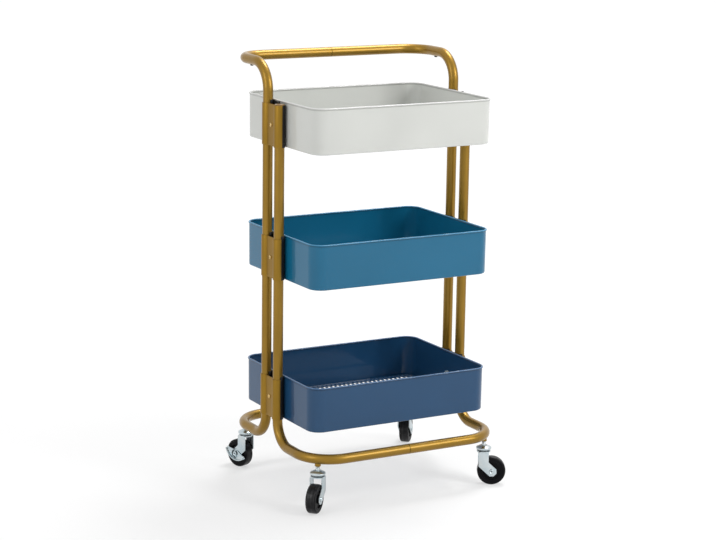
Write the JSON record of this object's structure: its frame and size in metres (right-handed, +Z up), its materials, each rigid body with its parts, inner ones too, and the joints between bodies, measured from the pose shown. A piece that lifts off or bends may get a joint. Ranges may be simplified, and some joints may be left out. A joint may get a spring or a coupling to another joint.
{
  "type": "utility cart",
  "caption": "Rolling utility cart: bent tube frame with a push handle, three pressed trays with slotted floors held by clamps, and four swivel casters, one with a brake.",
  "frame": {"origin": "on the floor, under the middle of the cart", "axes": "+Z up, +X to the cart's right-hand end, +Y to the back, where the handle is"},
  "size_m": [0.4645, 0.3962, 0.8685],
  "materials": {
    "gold_paint": "metallic gold paint",
    "white_paint": "satin white paint",
    "teal_paint": "satin teal blue paint",
    "navy_paint": "satin slate blue paint",
    "black_plastic": "matte black",
    "gold_plastic": "gold brown",
    "zinc": "bright zinc plate",
    "dark_screw": "dark plated",
    "wheel_plastic": "black moulded"
  },
  "bodies": {
    "frame": {"rear_left_tube": "gold_paint", "rear_right_tube": "gold_paint", "front_left_tube": "gold_paint", "front_right_tube": "gold_paint", "handle_sleeve": "dark_screw", "front_bar_sleeve": "dark_screw", "rear_bar_sleeve": "dark_screw", "joint_screws": "dark_screw", "handle_screws": "dark_screw", "front_tube_plugs": "gold_plastic", "top_tray_wall": "white_paint", "top_tray_floor": "white_paint", "top_left_clamp": "gold_paint", "top_left_saddle": "black_plastic", "top_right_clamp": "gold_paint", "top_right_saddle": "black_plastic", "middle_tray_wall": "teal_paint", "middle_tray_floor": "teal_paint", "middle_left_clamp": "gold_paint", "middle_left_saddle": "black_plastic", "middle_right_clamp": "gold_paint", "middle_right_saddle": "black_plastic", "bottom_tray_wall": "navy_paint", "bottom_tray_floor": "navy_paint", "bottom_left_clamp": "gold_paint", "bottom_left_saddle": "black_plastic", "bottom_right_clamp": "gold_paint", "bottom_right_saddle": "black_plastic", "clamp_screws": "gold_paint", "clamp_nuts": "zinc", "stem_sockets": "gold_paint", "front_left_stem": "zinc", "front_left_race": "zinc", "front_right_stem": "zinc", "front_right_race": "zinc", "rear_left_stem": "zinc", "rear_left_race": "zinc", "rear_right_stem": "zinc", "rear_right_race": "zinc"},
    "front_left_swivel": {"front_left_fork": "zinc", "front_left_axle": "zinc"},
    "front_left_roller": {"front_left_wheel": "wheel_plastic"},
    "front_right_swivel": {"front_right_fork": "zinc", "front_right_axle": "zinc"},
    "front_right_roller": {"front_right_wheel": "wheel_plastic"},
    "rear_left_swivel": {"rear_left_fork": "zinc", "rear_left_axle": "zinc"},
    "rear_left_roller": {"rear_left_wheel": "wheel_plastic"},
    "rear_left_brake": {"rear_left_brake_rocker": "zinc"},
    "rear_right_swivel": {"rear_right_fork": "zinc", "rear_right_axle": "zinc"},
    "rear_right_roller": {"rear_right_wheel": "wheel_plastic"}
  },
  "joints": [
    {"name": "front_left_swivel_turn", "type": "hinge", "parent": "frame", "child": "front_left_swivel", "pos_m": [-0.192, -0.158, 0.075], "axis": [0, 0, 1], "continuous": true},
    {"name": "front_left_wheel_spin", "type": "hinge", "parent": "front_left_swivel", "child": "front_left_roller", "pos_m": [-0.20426, -0.16904, 0.029], "axis": [0.6691, -0.7431, 0], "continuous": true},
    {"name": "front_right_swivel_turn", "type": "hinge", "parent": "frame", "child": "front_right_swivel", "pos_m": [0.192, -0.158, 0.075], "axis": [0, 0, 1], "continuous": true},
    {"name": "front_right_wheel_spin", "type": "hinge", "parent": "front_right_swivel", "child": "front_right_roller", "pos_m": [0.20643, -0.166, 0.029], "axis": [0.4848, 0.8746, 0], "continuous": true},
    {"name": "rear_left_swivel_turn", "type": "hinge", "parent": "frame", "child": "rear_left_swivel", "pos_m": [-0.192, 0.158, 0.075], "axis": [0, 0, 1], "continuous": true},
    {"name": "rear_left_wheel_spin", "type": "hinge", "parent": "rear_left_swivel", "child": "rear_left_roller", "pos_m": [-0.19737, 0.1736, 0.029], "axis": [-0.9455, -0.3256, 0], "continuous": true},
    {"name": "rear_left_brake_press", "type": "hinge", "parent": "rear_left_swivel", "child": "rear_left_brake", "pos_m": [-0.19737, 0.1736, 0.029], "axis": [-0.9455, -0.3256, 0], "range_deg": [0, 18]},
    {"name": "rear_right_swivel_turn", "type": "hinge", "parent": "frame", "child": "rear_right_swivel", "pos_m": [0.192, 0.158, 0.075], "axis": [0, 0, 1], "continuous": true},
    {"name": "rear_right_wheel_spin", "type": "hinge", "parent": "rear_right_swivel", "child": "rear_right_roller", "pos_m": [0.20304, 0.17026, 0.029], "axis": [-0.7431, 0.6691, 0], "continuous": true}
  ]
}
